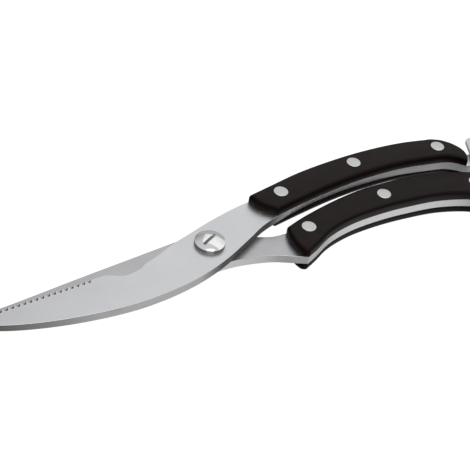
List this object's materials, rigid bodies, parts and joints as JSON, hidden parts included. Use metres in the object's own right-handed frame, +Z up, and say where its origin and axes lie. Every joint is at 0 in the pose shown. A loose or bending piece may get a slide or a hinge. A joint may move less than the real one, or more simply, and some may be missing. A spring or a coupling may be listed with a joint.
{
  "type": "poultry shears",
  "caption": "Curved poultry shears with a serrated bone-notch blade, black riveted handle scales, a pivot screw and a swinging handle latch.",
  "frame": {"origin": "centre of the underside of the bounding box, on the surface that the shears rest on", "axes": "+X from the blade tips to the handle ends, +Y to the side of the upper handle, +Z up, away from the resting surface"},
  "size_m": [0.2606, 0.0448, 0.0169],
  "materials": {
    "blade_steel": "fine satin, ground along the blade",
    "handle_plastic": "moulded, soft semi-gloss",
    "rivet_metal": "satin, ground flush",
    "polished_steel": "polished",
    "hardware_steel": "plain bright steel"
  },
  "bodies": {
    "lower_half": {"lower_blade": "blade_steel", "lower_handle_top_scale": "handle_plastic", "lower_handle_bottom_scale": "handle_plastic", "lower_front_rivet_pin": "rivet_metal", "lower_front_rivet_sleeve": "rivet_metal", "lower_middle_rivet_pin": "rivet_metal", "lower_middle_rivet_sleeve": "rivet_metal", "lower_rear_rivet_pin": "rivet_metal", "lower_rear_rivet_sleeve": "rivet_metal", "latch_stud": "polished_steel", "pivot_screw": "polished_steel", "pivot_bush": "hardware_steel", "pivot_nut": "hardware_steel", "spring_washer": "hardware_steel", "pivot_spring": "hardware_steel"},
    "upper_half": {"upper_blade": "blade_steel", "upper_handle_top_scale": "handle_plastic", "upper_handle_bottom_scale": "handle_plastic", "upper_front_rivet_pin": "rivet_metal", "upper_front_rivet_sleeve": "rivet_metal", "upper_middle_rivet_pin": "rivet_metal", "upper_middle_rivet_sleeve": "rivet_metal", "upper_rear_rivet_pin": "rivet_metal", "upper_rear_rivet_sleeve": "rivet_metal", "latch_rivet": "polished_steel", "latch_washer": "hardware_steel"},
    "latch": {"latch_lever": "blade_steel"}
  },
  "joints": [
    {"name": "pivot", "type": "hinge", "parent": "lower_half", "child": "upper_half", "pos_m": [-0.02364, 0.00046, 0.0104], "axis": [0, 0, 1], "range_deg": [0, 35]},
    {"name": "latch_swing", "type": "hinge", "parent": "upper_half", "child": "latch", "pos_m": [0.11816, 0.00086, 0.0137], "axis": [0, 0, -1], "range_deg": [0, 26]}
  ]
}
